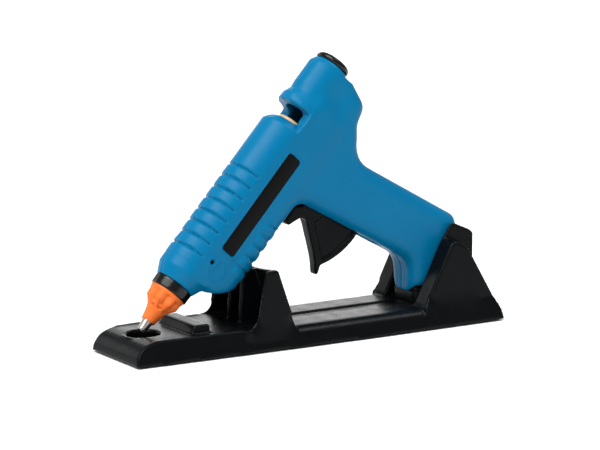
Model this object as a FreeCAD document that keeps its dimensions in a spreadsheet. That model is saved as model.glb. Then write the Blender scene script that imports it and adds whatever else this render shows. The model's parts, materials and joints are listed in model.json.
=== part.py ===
"""Glue gun of the kind that stands in a heating dock, as separate parts in millimetres.

World frame: +Z up, the dock lies along X, the nozzle points towards -X, and the origin is
the middle of the dock's footprint on the table.
Gun frame: x runs along the barrel from the nozzle tip to the glue stick inlet, z points away
from the handle. GUN places it in the world, tilted as the gun sits in its dock.
"""
import FreeCAD, Part
import math
import os

import Sketcher
from FreeCAD import Placement, Rotation, Vector

DOC = FreeCAD.newDocument("glue_gun")
SHEET = DOC.addObject("Spreadsheet::Sheet", "Sizes")


# ---------------------------------------------------------------- driving dimensions

DIMENSIONS = {
    # dock
    "dock_length": 250.0,
    "dock_front_width": 55.0,
    "dock_mid_width": 62.4,
    "dock_rear_width": 64.0,
    "dock_lean": 2.8,
    "dock_bottom": 0.6,
    "plate_top": 13.5,
    "valley_top": 12.3,
    "dock_wall": 2.5,
    "tower_half": 28.6,
    "cheek_wall": 3.0,
    "tower_height": 47.0,
    "front_tower_x": -46.2,
    "front_tower_back": -20.2,
    "slab_front": 69.0,
    "slab_height": 51.0,
    "slot_half": 15.4,
    "hood_wall": 2.5,
    "hood_back": 110.5,
    "hood_height": 60.0,
    "well_x": -106.0,
    "well_radius": 9.6,
    "foot_pad_radius": 5.0,
    # gun, placed by its nozzle tip
    "tip_x": -108.1,
    "tip_height": 14.4,
    "gun_tilt": 48.0,
    "shell_wall": 2.2,
    "barrel_half": 15.3,
    "barrel_front": 33.8,
    "barrel_back": 150.0,
    "keel_depth": 29.2,
    "grip_half": 14.0,
    "stick_bore": 5.9,
    "chamber_radius": 8.2,
    "chamber_back": 88.0,
    "collar_radius": 11.65,
    "rear_radius": 12.7,
    "rear_end": 192.2,
    "cap_radius": 10.9,
    "cap_end": 196.3,
    "notch_front": 149.0,
    "notch_back": 158.5,
    # trigger and feed
    "pivot_x": 0.2,
    "pivot_z": 87.0,
    "pin_radius": 2.0,
    "running_gap": 0.06,
    "trigger_half": 4.0,
    "trigger_reach": 47.3,
    "trigger_swing": 28.0,
    "feed_pin_depth": 13.0,
    "rod_radius": 1.25,
    "rod_side": 10.0,
    "rod_depth": 6.5,
    "carriage_length": 12.0,
}


class Size:
    """A length with the expression that binds it to the sheet's cells."""

    def __init__(self, value, text):
        self.value = value
        self.text = text

    def _join(self, other, sign, result):
        other = as_size(other)
        return Size(result(self.value, other.value), "(%s %s %s)" % (self.text, sign, other.text))

    def __add__(self, other):
        return self._join(other, "+", lambda a, b: a + b)

    def __sub__(self, other):
        return self._join(other, "-", lambda a, b: a - b)

    def __mul__(self, other):
        return self._join(other, "*", lambda a, b: a * b)

    def __truediv__(self, other):
        return self._join(other, "/", lambda a, b: a / b)

    def __rsub__(self, other):
        return as_size(other) - self

    def __neg__(self):
        return as_size(0.0) - self

    __radd__ = __add__
    __rmul__ = __mul__

    def __float__(self):
        return float(self.value)


def as_size(value):
    return value if isinstance(value, Size) else Size(float(value), "%.6g" % value)


def fill_sheet():
    sizes = {}
    for row, (name, value) in enumerate(DIMENSIONS.items(), start=1):
        SHEET.set("A%d" % row, name)
        SHEET.set("B%d" % row, "%g" % value)
        SHEET.setAlias("B%d" % row, name)
        sizes[name] = Size(value, "Sizes." + name)
    DOC.recompute()
    return sizes


D = fill_sheet()
HALF_LENGTH = D["dock_length"] / 2
GUN = Placement(Vector(float(D["tip_x"]), 0, float(D["tip_height"])),
                Rotation(Vector(0, 1, 0), -float(D["gun_tilt"])))
WORLD = Placement()


# ---------------------------------------------------------------- construction helpers

def bind(item, prop, size):
    """Set a property from the sheet and keep it bound there."""
    size = as_size(size)
    item.setExpression(prop, size.text)
    return item


def body(name, place):
    item = DOC.addObject("PartDesign::Body", name)
    item.Placement = place
    return item


def sketch_on(owner, role, name):
    plane = [f for f in owner.Origin.OriginFeatures if f.Role == role][0]
    item = owner.newObject("Sketcher::SketchObject", name)
    item.AttachmentSupport = [(plane, "")]
    item.MapMode = "FlatFace"
    return item


def fix_point(sketch, geometry, end, point):
    """Hold one end of a line or arc at its bound place."""
    for kind, coordinate in zip(("DistanceX", "DistanceY"), point):
        size = as_size(coordinate)
        index = sketch.addConstraint(
            Sketcher.Constraint(kind, -1, 1, geometry, end, float(size)))
        sketch.setExpression("Constraints[%d]" % index, size.text)


def draw_outline(sketch, points):
    """Closed outline of straight sides through the given bound points."""
    flat = [Vector(float(as_size(x)), float(as_size(y)), 0) for x, y in points]
    count = len(points)
    for i in range(count):
        sketch.addGeometry(Part.LineSegment(flat[i], flat[(i + 1) % count]), False)
    for i in range(count):
        sketch.addConstraint(Sketcher.Constraint("Coincident", i, 2, (i + 1) % count, 1))
        fix_point(sketch, i, 1, points[i])


def corner(owner, name, radius, places, reach=0.6):
    """Round the edges that run across the gun at the given side-view places."""
    base = owner.Tip
    picked = []
    for index, edge in enumerate(base.Shape.Edges, start=1):
        ends = [v.Point for v in edge.Vertexes]
        if len(ends) < 2 or abs(ends[0].x - ends[1].x) + abs(ends[0].z - ends[1].z) > 0.01:
            continue
        for x, z in places:
            if math.hypot(ends[0].x - float(x), ends[0].z - float(z)) < reach:
                picked.append("Edge%d" % index)
                break
    return round_edges(owner, name, radius, picked)


def round_edges(owner, name, radius, picked):
    base = owner.Tip
    item = owner.newObject("PartDesign::Fillet", name)
    item.Base = (base, picked)
    bind(item, "Radius", radius)
    DOC.recompute()
    return item


def slab_of(name, place, points, half_width, role="XZ_Plane"):
    """Side-view outline made into a solid, half_width each side of the middle plane."""
    owner = body(name, place)
    sketch = sketch_on(owner, role, name + "_outline")
    draw_outline(sketch, points)
    DOC.recompute()
    pad = owner.newObject("PartDesign::Pad", name + "_pad")
    pad.Profile = sketch
    pad.SideType = "Symmetric"
    bind(pad, "Length", as_size(half_width) * 2)
    DOC.recompute()
    return owner


def turned(name, points, place=GUN):
    """Solid turned about the barrel's axis from (along, radius) points."""
    owner = body(name, place)
    sketch = sketch_on(owner, "XZ_Plane", name + "_section")
    draw_outline(sketch, points)
    DOC.recompute()
    item = owner.newObject("PartDesign::Revolution", name + "_turn")
    item.Profile = sketch
    item.ReferenceAxis = (sketch, ["H_Axis"])
    item.Angle = 360
    DOC.recompute()
    return owner


def placed(item, place):
    item.Placement = place
    return item


def box(name, corner_at, sides, place=WORLD):
    item = DOC.addObject("Part::Box", name)
    for prop, side in zip(("Length", "Width", "Height"), sides):
        bind(item, prop, side)
    at = Vector(*[float(as_size(c)) for c in corner_at])
    return placed(item, place.multiply(Placement(at, Rotation())))


def rod(name, centre, radius, length, axis, place=WORLD):
    """Cylinder that starts at centre and runs along axis."""
    item = DOC.addObject("Part::Cylinder", name)
    bind(item, "Radius", radius)
    bind(item, "Height", length)
    at = Vector(*[float(as_size(c)) for c in centre])
    turn = Rotation(Vector(0, 0, 1), Vector(*axis))
    return placed(item, place.multiply(Placement(at, turn)))


def ball(name, centre, radius, place=WORLD):
    item = DOC.addObject("Part::Sphere", name)
    bind(item, "Radius", radius)
    at = Vector(*[float(as_size(c)) for c in centre])
    return placed(item, place.multiply(Placement(at, Rotation())))


def fuse(name, items):
    item = DOC.addObject("Part::MultiFuse", name)
    item.Shapes = items
    item.Refine = True
    return item


def cut(name, base, tool):
    item = DOC.addObject("Part::Cut", name)
    item.Base = base
    item.Tool = tool
    item.Refine = True
    return item


def common(name, base, tool):
    item = DOC.addObject("Part::Common", name)
    item.Base = base
    item.Tool = tool
    item.Refine = True
    return item


def group(name, items):
    """Separate equal solids kept in one sub-part."""
    item = DOC.addObject("Part::Compound", name)
    item.Links = items
    return item


def feature(name, shape, place=WORLD):
    item = DOC.addObject("Part::Feature", name)
    item.Shape = shape
    return placed(item, place)


def coil(name, start, radius, wire, length, turns, place=WORLD):
    """Coil spring whose axis runs along +x from start, with flat facets along its wire."""
    per_turn, sides = 12, 6
    sections = []
    for i in range(turns * per_turn + 1):
        angle = 2 * math.pi * i / per_turn
        out = Vector(math.cos(angle), math.sin(angle), 0)
        rise = Vector(0, 0, length * i / (turns * per_turn))
        ring = []
        for k in range(sides + 1):
            around = 2 * math.pi * (k % sides) / sides
            lift = Vector(0, 0, wire * math.sin(around))
            ring.append(out * (radius + wire * math.cos(around)) + lift + rise)
        sections.append(Part.makePolygon(ring))
    solid = Part.makeLoft(sections, True, True)
    turn = Rotation(Vector(0, 0, 1), Vector(1, 0, 0))
    at = Vector(*[float(as_size(c)) for c in start])
    return feature(name, solid, place.multiply(Placement(at, turn)))


def arc_path(points, radius):
    """Wire of straight runs through points, joined by tangent arcs."""
    vectors = [Vector(*p) for p in points]
    edges = []
    start = vectors[0]
    for before, here, after in zip(vectors, vectors[1:], vectors[2:]):
        back = (before - here).normalize()
        ahead = (after - here).normalize()
        half_turn = (math.pi - back.getAngle(ahead)) / 2
        trim = radius * math.tan(half_turn)
        enter = here + back * trim
        leave = here + ahead * trim
        middle_dir = (back + ahead).normalize()
        centre = here + middle_dir * (radius / math.cos(half_turn))
        edges.append(Part.LineSegment(start, enter).toShape())
        edges.append(Part.Arc(enter, centre - middle_dir * radius, leave).toShape())
        start = leave
    edges.append(Part.LineSegment(start, vectors[-1]).toShape())
    return Part.Wire(edges)


def wire_lead(points, radius, bend):
    """Insulated lead along a path of runs and tangent arcs."""
    path = arc_path(points, bend)
    first = path.Edges[0]
    direction = first.tangentAt(first.FirstParameter)
    section = Part.Wire(Part.makeCircle(radius, Vector(*points[0]), direction))
    return path.makePipeShell([section], True, True)


def gun_to_world(along, up):
    """World X and Z of a point given in the gun's side view."""
    point = GUN.multVec(Vector(float(as_size(along)), 0, float(as_size(up))))
    return point.x, point.z


def world_to_gun(x, z):
    """Gun side-view coordinates of a world point."""
    point = GUN.inverse().multVec(Vector(float(as_size(x)), 0, float(as_size(z))))
    return point.x, point.z


# ---------------------------------------------------------------- nozzle and valve

def make_nozzle():
    """Screwed metal tip with its valve room, the ball and its spring, and the soft sleeve."""
    turned("nozzle_tip", [
        (1.0, 0.9), (1.0, 2.3), (1.4, 2.6), (8.4, 3.5), (12.2, 3.5), (12.6, 4.4),
        (15.6, 4.4), (15.6, 3.9), (25.5, 3.9), (25.5, 2.6), (9.4, 2.6), (8.2, 0.9)])
    ball("valve_ball", (24.3, 0, 0), 2.1, GUN)
    coil("valve_spring", (9.9, 0, 0), 1.9, 0.28, 11.8, 7, GUN)
    cone = turned("sleeve_cone", [
        (7.6, 3.7), (7.6, 4.1), (13.0, 6.0), (18.0, 8.0), (21.0, 9.7), (27.0, 11.0),
        (27.5, 10.9), (27.5, 7.1), (17.6, 7.1), (16.6, 4.6), (12.4, 4.6), (12.0, 3.7)])
    grooves = [box("sleeve_groove_%d" % i, (16.0, -1.6, 8.5), (10.4, 3.2, 4.0),
                   GUN.multiply(Placement(Vector(), Rotation(Vector(1, 0, 0), angle))))
               for i, angle in enumerate(range(0, 360, 45))]
    cut("nozzle_sleeve", cone, fuse("sleeve_grooves", grooves))
    collar = D["collar_radius"]
    turned("nose_collar", [
        (27.6, 9.4), (27.6, collar - 0.4), (28.0, collar), (33.6, collar + 0.15),
        (33.6, 10.3), (38.0, 10.3), (38.0, 9.4)])


# ---------------------------------------------------------------- melt chamber and heater

def make_chamber():
    """Aluminium melt chamber with its heater pocket, heater, support and silicone inlet."""
    bore = D["stick_bore"]
    radius = D["chamber_radius"]
    back = D["chamber_back"]
    tube = turned("chamber_tube", [
        (18.0, 4.0), (18.0, 6.8), (28.0, 6.8), (30.0, radius), (back, radius), (back, 7.3),
        (back + 8, 7.3), (back + 8, bore), (42.0, bore), (34.0, 1.8), (25.7, 1.8),
        (25.7, 4.0)])
    block = box("pocket_block", (46.0, -7.5, -16.2), (28.0, 15.0, 9.5), GUN)
    slot = box("pocket_slot", (45.0, -6.2, -13.6), (30.0, 12.4, 3.4), GUN)
    room = rod("chamber_room", (45.0, 0, 0), bore + 1.0, 30.0, (1, 0, 0), GUN)
    block_cut = cut("pocket_body", block, fuse("pocket_rooms", [slot, room]))
    fuse("melt_chamber", [tube, block_cut])
    box("ptc_heater", (49.0, -5.8, -12.9), (22.0, 11.6, 2.0), GUN)
    plates = []
    for side, height in ((-1, -13.3), (1, -10.8)):
        name = "electrode_%s" % ("low" if side < 0 else "high")
        plate = box(name + "_plate", (48.0, -5.8, height), (24.0, 11.6, 0.3), GUN)
        tab = box(name + "_tab", (71.0, side * 3.5 - 1.5, height), (6.6, 3.0, 0.3), GUN)
        plates.append(fuse(name, [plate, tab]))
    group("electrode_plates", plates)
    clip = slab_of("clip_outer", GUN, [
        (52.0, -17.2), (66.0, -17.2), (66.0, -16.4), (52.0, -16.4)], 8.6)
    arms = [box("clip_arm_%d" % (side > 0), (52.0, 8.0 if side > 0 else -8.6, -17.2),
                (14.0, 0.6, 9.0), GUN) for side in (-1, 1)]
    fuse("heater_clip", [clip] + arms)
    turned("chamber_support", [
        (80.0, radius + 0.1), (80.0, 12.9), (84.0, 12.9), (84.0, radius + 0.1)])
    turned("inlet_sleeve", [
        (back + 0.2, 7.4), (back + 0.2, 9.2), (110.0, 8.4), (112.0, 7.6), (112.0, bore),
        (back + 8.2, bore), (back + 8.2, 7.4)])
    turned("sleeve_clamp", [
        (91.0, 9.3), (91.0, 10.1), (94.0, 10.1), (94.0, 9.2)])
    fuse_body = rod("fuse_case", (74.0, -4.0, -20.0), 1.8, 10.0, (1, 0, 0), GUN)
    fuse_ends = [rod("fuse_end_%d" % i, (start, -4.0, -20.0), 0.5, 3.0, (1, 0, 0), GUN)
                 for i, start in enumerate((71.2, 83.8))]
    fuse("thermal_fuse", [fuse_body] + fuse_ends)


# ---------------------------------------------------------------- feed mechanism

def feed_stroke():
    """Half the pin's travel each side of the point straight above the trigger pivot."""
    arm = -world_to_gun(D["pivot_x"], D["pivot_z"])[1] - float(D["feed_pin_depth"])
    return arm * math.tan(math.radians(float(D["trigger_swing"]) / 2))


def feed_pin_along():
    """Where the feed pin stands along the barrel with the trigger released."""
    return world_to_gun(D["pivot_x"], D["pivot_z"])[0] + feed_stroke()


def make_feed():
    """Carriage on two rods that grips the glue stick and pushes it forward."""
    pin_at = feed_pin_along()
    depth = D["feed_pin_depth"]
    start = pin_at - float(D["carriage_length"]) / 2
    length = D["carriage_length"]
    side = D["rod_side"]
    ring = rod("carriage_ring", (start, 0, 0), 9.6, length, (1, 0, 0), GUN)
    ears = box("carriage_ears", (start, -12.2, -8.6), (length, 24.4, 4.2), GUN)
    lug = box("carriage_lug", (start, -6.4, -16.0), (length, 12.8, 10.0), GUN)
    solid = fuse("carriage_solid", [ring, ears, lug])
    gap = D["running_gap"]
    holes = [rod("carriage_bore", (start - 1, 0, 0), 6.4, length + 2, (1, 0, 0), GUN),
             box("carriage_fork_room", (start - 1, -3.6, -17.0), (length + 2, 7.2, 10.4), GUN),
             box("carriage_jaw_room", (start + 1.0, -2.8, 2.0), (length - 2, 5.6, 9.0), GUN),
             rod("feed_pin_hole", (pin_at, -7.0, -depth), 1.5, 14.0, (0, 1, 0), GUN)]
    for sign in (-1, 1):
        holes.append(rod("rod_hole_%d" % (sign > 0), (start - 1, side * sign, -D["rod_depth"]),
                         D["rod_radius"] + gap, length + 2, (1, 0, 0), GUN))
    jaw_x, jaw_z = start + 8.6, 8.4
    holes.append(rod("jaw_pin_hole", (jaw_x, -5.5, jaw_z), 0.8, 11.0, (0, 1, 0), GUN))
    cut("feed_carriage", solid, fuse("carriage_holes", holes))
    rod("feed_pin", (pin_at, -6.4, -depth), 1.5, 12.8, (0, 1, 0), GUN)
    rod("jaw_pin", (jaw_x, -4.4, jaw_z), 0.8, 8.8, (0, 1, 0), GUN)
    jaw = slab_of("jaw_blank", GUN, [
        (start + 1.6, 6.5), (start + 2.4, 7.1), (start + 3.2, 6.5), (start + 4.0, 7.1),
        (start + 4.8, 6.5), (start + 5.6, 7.1), (start + 10.2, 7.1), (start + 10.4, 9.6),
        (start + 7.5, 10.2), (start + 2.0, 8.6)], 2.4)
    cut("gripper_jaw", jaw, rod("jaw_hole", (jaw_x, -4, jaw_z), D["running_gap"] + 0.8, 8,
                                (0, 1, 0), GUN))
    rods = [rod("guide_rod_%d" % (sign > 0), (100.0, side * sign, -D["rod_depth"]),
                D["rod_radius"], 42.0, (1, 0, 0), GUN) for sign in (-1, 1)]
    group("guide_rods", rods)
    springs = [coil("feed_spring_%d" % (sign > 0), (102.5, side * sign, -D["rod_depth"]), 2.0,
                    0.3, start - 103.0, 9, GUN) for sign in (-1, 1)]
    group("return_springs", springs)
    turned("stick_guide", [
        (143.5, D["stick_bore"]), (143.5, 8.6), (146.4, 8.6), (146.4, 8.2), (150.8, 8.2),
        (151.2, 7.8), (151.2, D["stick_bore"])])


def make_trigger():
    """Trigger with its fork arm, turning on a pin in the root of the handle."""
    px, pz = D["pivot_x"], D["pivot_z"]
    half = D["trigger_half"]
    reach = D["trigger_reach"]
    tip = gun_to_world(feed_pin_along(), -float(D["feed_pin_depth"]) + 3.0)
    disc = rod("trigger_disc", (px, -half, pz), reach, half * 2, (0, 1, 0))
    wedge = slab_of("trigger_wedge", WORLD, [
        (px - 2.0, pz), (1.6, 68.0), (7.6, 45.0), (8.6, 36.0), (38.0, 40.0), (60.0, 66.0),
        (px + 41.0, pz - 20.5), (px + 8.0, pz - 3.0)], half)
    sector = common("trigger_sector", disc, wedge)
    blade = slab_of("trigger_blade", WORLD, [
        (-12.8, 68.6), (-10.0, 66.6), (-7.0, 68.4), (-2.8, 70.2), (0.6, 69.8), (2.0, 68.0),
        (5.6, 54.0), (7.8, 42.0), (7.8, 36.0), (9.0, 34.8), (10.4, 36.0), (11.4, 40.5),
        (9.0, 60.0), (7.0, 78.0), (-6.5, 78.0), (-12.0, 71.5)], half)
    round_edges(blade, "blade_rim", 1.1, side_rims(blade, float(half)))
    hub = rod("trigger_hub", (px, -half, pz), 6.4, half * 2, (0, 1, 0))
    fork_blank = fork_arm(px, pz, tip)
    solid = fuse("trigger_solid", [sector, blade, hub, fork_blank])
    pin_x, pin_z = gun_to_world(feed_pin_along(), -float(D["feed_pin_depth"]))
    slot = fork_slot(px, pz, (pin_x, pin_z))
    hole = rod("trigger_hole", (px, -half - 1, pz), D["pin_radius"] + D["running_gap"],
               half * 2 + 2, (0, 1, 0))
    cut("trigger", solid, fuse("trigger_openings", [slot, hole]))
    rod("trigger_pin", (px, -11.4, pz), D["pin_radius"], 22.8, (0, 1, 0))


def side_rims(owner, half):
    """Edges of a slab's two flat sides."""
    rims = []
    for index, edge in enumerate(owner.Tip.Shape.Edges, start=1):
        if all(abs(abs(v.Point.y) - half) < 0.01 for v in edge.Vertexes):
            if abs(edge.Vertexes[0].Point.y - edge.Vertexes[-1].Point.y) < 0.01:
                rims.append("Edge%d" % index)
    return rims


def arm_frame(px, pz, tip):
    """Placement with x along the arm from the pivot to the tip."""
    angle = math.degrees(math.atan2(tip[1] - float(pz), tip[0] - float(px)))
    return Placement(Vector(float(px), 0, float(pz)), Rotation(Vector(0, 1, 0), -angle))


def fork_arm(px, pz, tip):
    length = math.hypot(tip[0] - float(px), tip[1] - float(pz))
    return box("fork_blank", (0, -3.0, -4.0), (length, 6.0, 8.0), arm_frame(px, pz, tip))


def fork_slot(px, pz, pin):
    """Open slot in the arm's end for the feed pin."""
    frame = arm_frame(px, pz, pin)
    length = math.hypot(pin[0] - float(px), pin[1] - float(pz))
    return box("fork_slot", (length - 3.0, -4.0, -1.85), (12.0, 8.0, 3.7), frame)


# ---------------------------------------------------------------- gun housing

def stadium_bar(name, inset, start, end):
    """Barrel with a round top and a keel below, inset from the outer skin."""
    half = D["barrel_half"] - inset
    depth = D["keel_depth"] - inset
    owner = body(name, GUN)
    sketch = sketch_on(owner, "YZ_Plane", name + "_section")
    radius = float(half)
    low = -float(depth)
    points = [Vector(radius, 0, 0), Vector(-radius, 0, 0), Vector(-radius, low, 0),
              Vector(radius, low, 0)]
    sketch.addGeometry(Part.Arc(points[0], Vector(0, radius, 0), points[1]), False)
    for a, b in ((1, 2), (2, 3), (3, 0)):
        sketch.addGeometry(Part.LineSegment(points[a], points[b]), False)
    for a, b in ((1, 2), (2, 3)):
        sketch.addConstraint(Sketcher.Constraint("Coincident", a, 2, b, 1))
    sketch.addConstraint(Sketcher.Constraint("Coincident", 0, 2, 1, 1))
    sketch.addConstraint(Sketcher.Constraint("Coincident", 3, 2, 0, 1))
    sketch.addConstraint(Sketcher.Constraint("Coincident", 0, 3, -1, 1))
    fix_point(sketch, 1, 1, (-half, 0.0))
    fix_point(sketch, 2, 1, (-half, -depth))
    fix_point(sketch, 3, 1, (half, -depth))
    DOC.recompute()
    pad = owner.newObject("PartDesign::Pad", name + "_pad")
    pad.Profile = sketch
    bind(pad, "Length", as_size(end) - start)
    DOC.recompute()
    shift = GUN.multVec(Vector(float(as_size(start)), 0, 0))
    owner.Placement = Placement(shift, GUN.Rotation)
    keel = [("Edge%d" % i) for i, e in enumerate(owner.Tip.Shape.Edges, start=1)
            if along_keel(owner, e, float(half), float(depth))]
    round_edges(owner, name + "_keel", 9.0 - inset, keel)
    return owner


def along_keel(owner, edge, half, depth):
    """True for the two long lower edges of a barrel bar."""
    local = [owner.Placement.inverse().multVec(v.Point) for v in edge.Vertexes]
    if owner.Placement.Base.Length and abs(local[0].z + depth) > 0.01:
        local = [v.Point for v in edge.Vertexes]
    return all(abs(abs(p.y) - half) < 0.01 and abs(p.z + depth) < 0.01 for p in local) and (
        abs(local[0].x - local[-1].x) > 1.0)


def barrel_solid(name, inset):
    """Barrel bar tapered at the nose and rounded off where the stick window starts."""
    front = D["barrel_front"] + inset * 2
    half = float(D["barrel_half"]) - inset
    top = stadium_bar(name + "_bar", inset, front, D["barrel_back"] - inset)
    taper = turned(name + "_taper", [
        (front - 0.1, 0.0), (front - 0.1, 12.0 - inset), (41.0 + inset, half + 0.05),
        (42.0 + inset, 60.0), (144.0 - inset, 60.0), (144.1 - inset, half + 0.05),
        (147.4 - inset, 12.6 - inset), (D["barrel_back"] - inset, 9.0),
        (D["barrel_back"] - inset, 0.0)])
    chin = slab_of(name + "_chin", GUN, [
        (20.0, -11.6 + inset), (34.0 + inset, -11.6 + inset), (39.0 + inset, -14.4 + inset),
        (51.0 + inset, -28.6 + inset), (51.5 + inset, -60.0), (20.0, -60.0)], 30.0)
    barrel = cut(name + "_front", common(name + "_round", top, taper), chin)
    under = stadium_bar(name + "_under", inset, 130.0, 171.0 - inset)
    keep = slab_of(name + "_keep", GUN, [
        (128.0, 0.6 - inset), (176.0, 0.6 - inset), (172.0, -6.0), (158.0, -40.0),
        (128.0, -40.0)], 30.0)
    return fuse(name, [barrel, common(name + "_belly", under, keep)])


def rear_tube(name, inset, start):
    """Rear barrel with the trumpet lip that faces the stick window, and the web below it."""
    radius = D["rear_radius"] - inset
    web_end = 190.4 - inset
    web = box(name + "_web", (start, -radius, -14.0), (as_size(web_end) - start, radius * 2, 14.0),
              GUN)
    tube = turned(name + "_tube", [
        (start, 0.0), (start, 13.2 - inset), (159.4, 14.5 - inset), (163.6, 14.4 - inset),
        (168.2, 12.3 - inset), (173.0, radius), (188.4, radius), (190.8, 11.4 - inset),
        (D["rear_end"] - inset, 10.4 - inset), (D["rear_end"] - inset, 0.0)])
    return fuse(name, [tube, web])


GRIP_OUTLINE = [
    # world side view: root at the barrel, the crotch above the trigger, along the grip's
    # underside, down the foot, up the foot's back and along the back of the gun
    (-24.0, 96.0), (-13.5, 75.4), (-6.4, 81.4), (71.0, 38.6), (71.0, 19.2), (104.6, 19.2),
    (104.6, 61.8), (46.0, 94.6), (33.4, 102.0), (33.4, 123.0), (39.4, 133.6), (29.4, 149.0),
    (18.0, 138.0), (4.0, 122.0)]


def grip_solid(name, inset):
    """Handle, foot and back of the gun as one rounded slab, inset from the outer skin."""
    points = shrink(GRIP_OUTLINE, inset)
    owner = slab_of(name, WORLD, points, D["grip_half"] - inset)
    corner(owner, name + "_heel", 6.0 - inset, [points[6]])
    if not inset:
        for label, radius, index in (
                ("crotch", 9.0, 2), ("calf", 14.0, 3), ("waist", 16.0, 8),
                ("thumb", 8.0, 9), ("tail", 5.0, 10)):
            corner(owner, "%s_%s" % (name, label), radius, [points[index]])
    rims = outer_rims(owner, float(D["grip_half"]) - inset)
    round_edges(owner, name + "_rims", 4.0 if inset else 7.5, rims)
    return owner


def shrink(points, inset):
    """Outline moved inwards by inset, corner by corner."""
    if not inset:
        return points
    count = len(points)
    area = sum(a[0] * b[1] - b[0] * a[1] for a, b in zip(points, points[1:] + points[:1]))
    sign = 1.0 if area > 0 else -1.0
    moved = []
    for i in range(count):
        (x0, z0), (x1, z1), (x2, z2) = points[i - 1], points[i], points[(i + 1) % count]
        d1 = Vector(x1 - x0, z1 - z0, 0).normalize()
        d2 = Vector(x2 - x1, z2 - z1, 0).normalize()
        n1 = Vector(-d1.y, d1.x, 0) * sign
        n2 = Vector(-d2.y, d2.x, 0) * sign
        bisector = n1 + n2
        scale = inset / bisector.dot(n1)
        moved.append((x1 + bisector.x * scale, z1 + bisector.y * scale))
    return moved


def outer_rims(owner, half):
    """Edges of the two flat sides of the grip."""
    rims = []
    for index, edge in enumerate(owner.Tip.Shape.Edges, start=1):
        low, high = edge.BoundBox.YMin, edge.BoundBox.YMax
        if high - low < 0.01 and abs(abs(low) - half) < 0.01:
            rims.append("Edge%d" % index)
    return rims


def make_housing():
    """Two mirror-parted shells with bosses, grooves and every opening."""
    wall = float(D["shell_wall"])
    outer = fuse("housing_outer", [
        barrel_solid("barrel_outer", 0.0),
        rear_tube("rear_outer", 0.0, 157.6),
        grip_solid("grip_outer", 0.0)])
    inner = fuse("housing_inner", [
        barrel_solid("barrel_inner", wall),
        rear_tube("rear_inner", wall, 160.4),
        grip_solid("grip_inner", wall)])
    room = cut("housing_room", inner, fuse("housing_bosses", housing_bosses()))
    shell = cut("housing_shell", outer, room)
    ways = fuse("housing_ways", middle_ways())
    far = 320.0
    for side, sign in (("left", -1), ("right", 1)):
        half = box(side + "_half", (-160.0, min(0.0, 60.0 * sign), 0.0), (far, 60.0, far))
        blank = common(side + "_blank", shell, half)
        opened = cut(side + "_opened", blank, ways)
        detail = cut(side + "_detail", opened, fuse(side + "_details", side_details(sign)))
        cut("housing_" + side, detail, fuse(side + "_screw_ways", screw_tools(side)))


SCREW_PLACES = [(-51.7, 44.4), (-30.6, 68.4), (58.2, 68.6), (92.2, 33.0), (25.6, 117.0)]


def screw_tools(kind):
    """Holes from the right side, or the screws that fill them."""
    tools = []
    for i, (x, z) in enumerate(SCREW_PLACES):
        if kind == "right":
            tools.append(rod("seat_head_%d" % i, (x, 8.0, z), 3.2, 12.0, (0, 1, 0)))
            tools.append(rod("seat_shank_%d" % i, (x, -1.0, z), 1.65, 12.0, (0, 1, 0)))
        elif kind == "left":
            tools.append(rod("pilot_%d" % i, (x, -9.5, z), 1.25, 10.5, (0, 1, 0)))
        else:
            head = rod("screw_head_%d" % i, (x, 8.1, z), 2.8, 2.0, (0, 1, 0))
            shank = rod("screw_shank_%d" % i, (x, -8.5, z), 1.25, 16.7, (0, 1, 0))
            drive = box("screw_drive_%d" % i, (x - 2.0, 9.1, z - 0.4), (4.0, 2.0, 0.8))
            tools.append(cut("screw_%d" % i, fuse("screw_solid_%d" % i, [head, shank]), drive))
    return tools


def housing_bosses():
    """Screw towers, pivot bosses, rod cradles and the ring seats inside the shells."""
    items = [rod("boss_%d" % i, (x, -15.0, z), 3.8, 30.0, (0, 1, 0))
             for i, (x, z) in enumerate(SCREW_PLACES)]
    px, pz = D["pivot_x"], D["pivot_z"]
    for sign in (-1, 1):
        name = "pivot_boss_%d" % (sign > 0)
        items.append(rod(name, (px, 4.2 * sign, pz), 4.6, 10.0, (0, sign, 0)))
        for at in (100.0, 140.0):
            items.append(box("cradle_%d_%d" % (sign > 0, at),
                             (at, 8.7 if sign > 0 else -15.0, -9.4), (2.0, 6.3, 5.8), GUN))
    items.append(turned("nose_seat", [(35.0, 9.5), (35.0, 14.0), (38.0, 14.0), (38.0, 9.5)]))
    items.append(turned("support_seat", [
        (78.4, 11.6), (78.4, 15.0), (79.8, 15.0), (79.8, 11.6)]))
    items.append(turned("support_seat_back", [
        (84.2, 11.6), (84.2, 15.0), (85.6, 15.0), (85.6, 11.6)]))
    items.append(turned("guide_seat", [
        (141.8, 7.6), (141.8, 15.0), (148.0, 15.0), (148.0, 7.6)]))
    return items


def middle_ways():
    """Openings that cross the parting plane."""
    front, back = D["notch_front"], D["notch_back"]
    window = slab_of("window", GUN, [
        (front, 1.2), (back, 1.2), (back, 26.0), (front, 26.0)], 20.0)
    corner(window, "window_corners", 2.6, [(front, 1.2), (back, 1.2)])
    return [
        window,
        turned("nose_hole", [(30.0, 0.0), (30.0, 10.4), (38.2, 10.4), (38.2, 0.0)]),
        turned("chamber_way", [(38.0, 0.0), (38.0, 9.5), (99.0, 9.5), (99.0, 0.0)]),
        turned("guide_way", [
            (140.0, 0.0), (140.0, 8.65), (146.6, 8.65), (146.6, 8.25), (152.0, 8.25),
            (152.0, 0.0)]),
        turned("stick_way", [(150.0, 0.0), (150.0, 7.4), (200.0, 7.4), (200.0, 0.0)]),
        rod("pin_way", (D["pivot_x"], -11.5, D["pivot_z"]), D["pin_radius"], 23.0, (0, 1, 0)),
        trigger_way(),
        box("foot_mouth", (73.4, -11.6, 17.0), (28.8, 23.2, 5.0)),
    ]


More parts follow.
